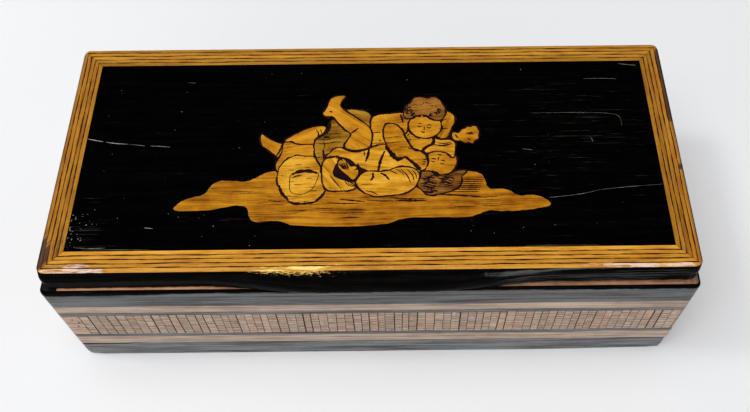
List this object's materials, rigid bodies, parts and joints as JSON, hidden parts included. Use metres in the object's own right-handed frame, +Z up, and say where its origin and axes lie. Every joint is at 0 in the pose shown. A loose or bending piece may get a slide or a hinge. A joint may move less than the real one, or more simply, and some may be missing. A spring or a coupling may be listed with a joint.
{
  "type": "marquetry box",
  "caption": "Long hollow wooden trinket box with a lift-off lid: black panel with an inlaid picture, striped border, curved front lip and banded sides.",
  "frame": {"origin": "middle of the footprint, on the underside of the box", "axes": "+X along the length to the right as seen from the front, -Y towards the front with the finger lip, +Z up"},
  "size_m": [0.2564, 0.1165, 0.0726],
  "materials": {
    "carcass_wood": "bare aged softwood, matte",
    "ebonised_wood": "black stained veneer, glossy worn varnish",
    "pale_stripe": "pale veneer strip, satin varnish",
    "parquetry": "small tan tiles with dark joints, satin varnish",
    "golden_banding": "golden strips with thin dark lines, glossy varnish",
    "figure_wood": "golden figured veneer, glossy varnish",
    "pale_inlay": "pale yellow veneer, glossy varnish",
    "olive_inlay": "olive-stained veneer, glossy varnish",
    "dark_inlay": "brown veneer with dark lines, glossy varnish",
    "ground_inlay": "brown-gold veneer with level grain, glossy varnish"
  },
  "bodies": {
    "root": {"front_wall": "carcass_wood", "back_wall": "carcass_wood", "left_wall": "carcass_wood", "right_wall": "carcass_wood", "bottom_board": "carcass_wood", "base_band_front": "ebonised_wood", "base_band_right": "ebonised_wood", "base_band_back": "ebonised_wood", "base_band_left": "ebonised_wood", "lower_stripe_front": "pale_stripe", "lower_stripe_right": "pale_stripe", "lower_stripe_back": "pale_stripe", "lower_stripe_left": "pale_stripe", "lower_line_front": "ebonised_wood", "lower_line_right": "ebonised_wood", "lower_line_back": "ebonised_wood", "lower_line_left": "ebonised_wood", "parquetry_front": "parquetry", "parquetry_right": "parquetry", "parquetry_back": "parquetry", "parquetry_left": "parquetry", "upper_line_front": "ebonised_wood", "upper_line_right": "ebonised_wood", "upper_line_back": "ebonised_wood", "upper_line_left": "ebonised_wood", "upper_stripe_front": "pale_stripe", "upper_stripe_right": "pale_stripe", "upper_stripe_back": "pale_stripe", "upper_stripe_left": "pale_stripe", "top_band_front": "ebonised_wood", "top_band_right": "ebonised_wood", "top_band_back": "ebonised_wood", "top_band_left": "ebonised_wood", "lid_board": "ebonised_wood", "black_panel": "ebonised_wood", "border_front": "golden_banding", "border_right": "golden_banding", "border_back": "golden_banding", "border_left": "golden_banding", "older_child_arm": "figure_wood", "older_child_face": "figure_wood", "older_child_far_arm": "figure_wood", "older_child_fist": "figure_wood", "older_child_leg": "figure_wood", "older_child_shirt": "figure_wood", "younger_child_hand": "figure_wood", "younger_child_far_sleeve": "figure_wood", "younger_child_near_leg": "figure_wood", "younger_child_far_leg": "figure_wood", "younger_child_foot": "figure_wood", "younger_child_face": "figure_wood", "younger_child_near_sleeve": "pale_inlay", "younger_child_waistcoat": "pale_inlay", "straw_hat": "pale_inlay", "sash": "olive_inlay", "breeches": "olive_inlay", "older_child_hair": "dark_inlay", "younger_child_hair": "dark_inlay", "ground": "ground_inlay"}
  },
  "joints": []
}
